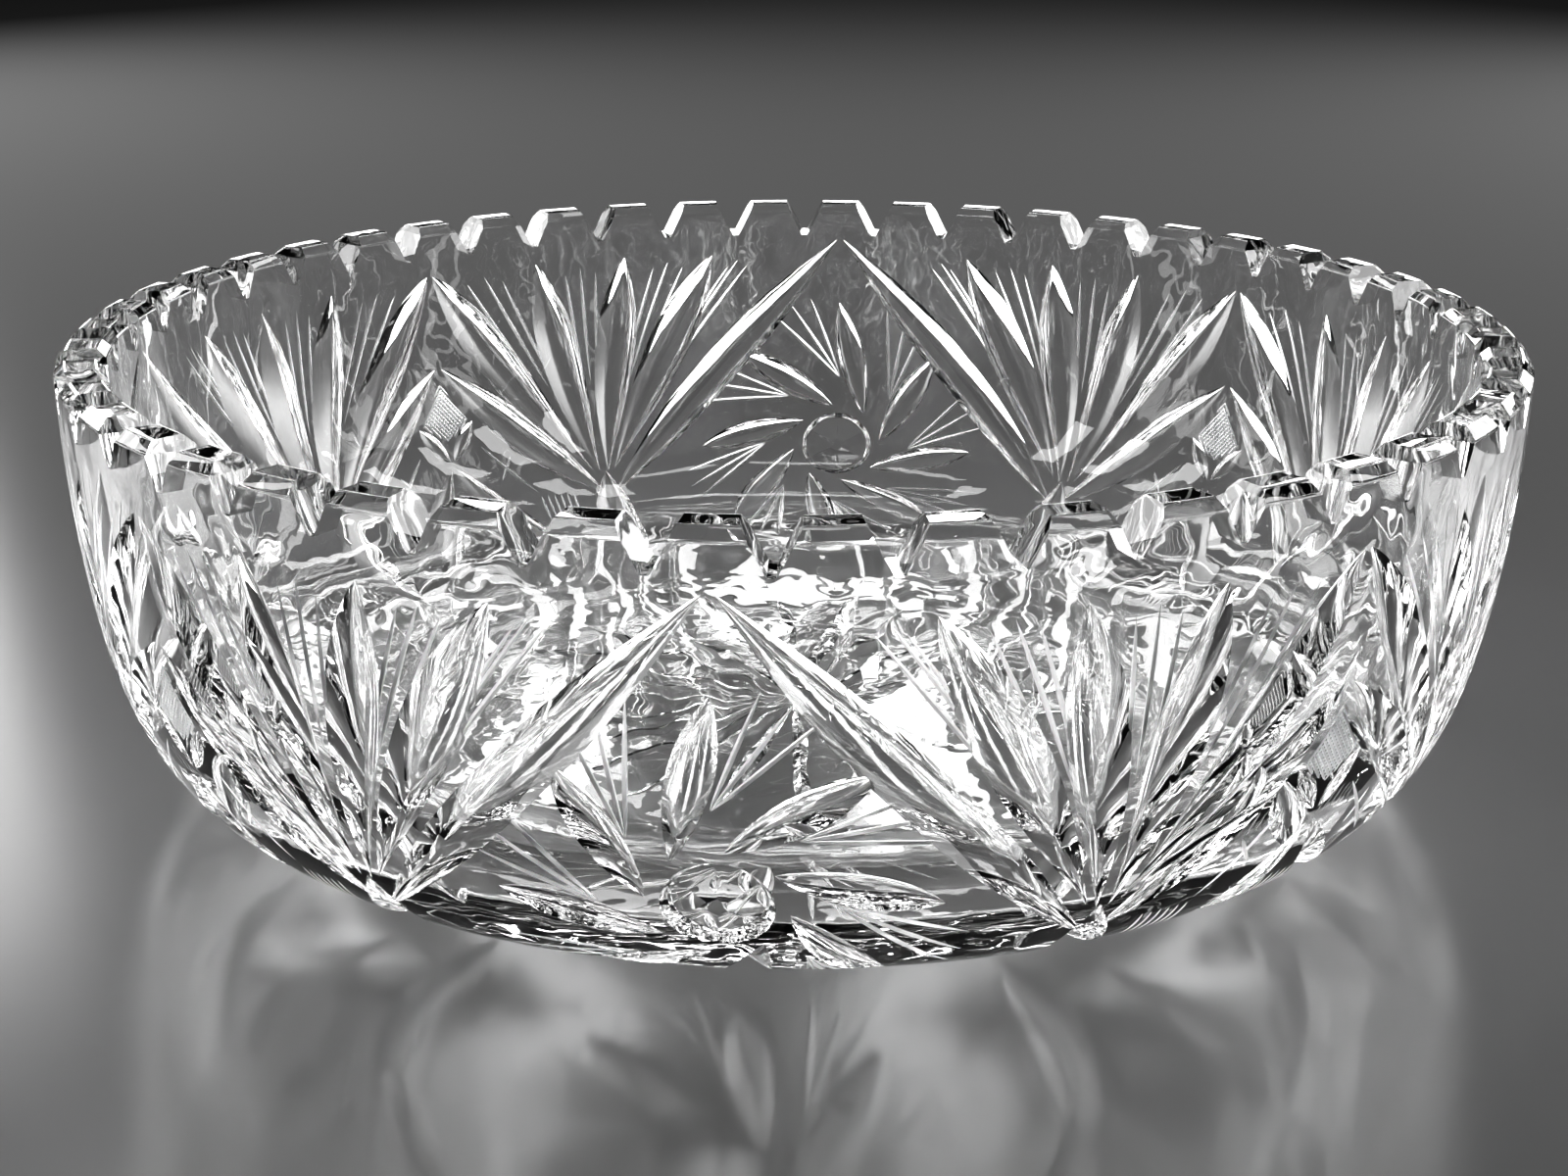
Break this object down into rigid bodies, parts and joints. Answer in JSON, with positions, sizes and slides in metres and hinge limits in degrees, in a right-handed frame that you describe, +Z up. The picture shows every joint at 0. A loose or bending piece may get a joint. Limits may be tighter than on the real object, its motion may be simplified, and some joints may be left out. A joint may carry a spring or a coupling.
{
  "type": "punch bowl",
  "caption": "Low, heavy clear cut-crystal bowl with a saw-tooth rim and wheel-cut pinwheels, fans and diamonds around its outside.",
  "frame": {"origin": "centre of the flat face that the bowl stands on", "axes": "+Z up along the bowl's axis, -Y towards the middle of a pinwheel panel"},
  "size_m": [0.305, 0.305, 0.097],
  "materials": {
    "crystal": "polished clear crystal, with fine matte hatching in small patches of the pattern"
  },
  "bodies": {
    "root": {"bowl": "crystal"}
  },
  "joints": []
}
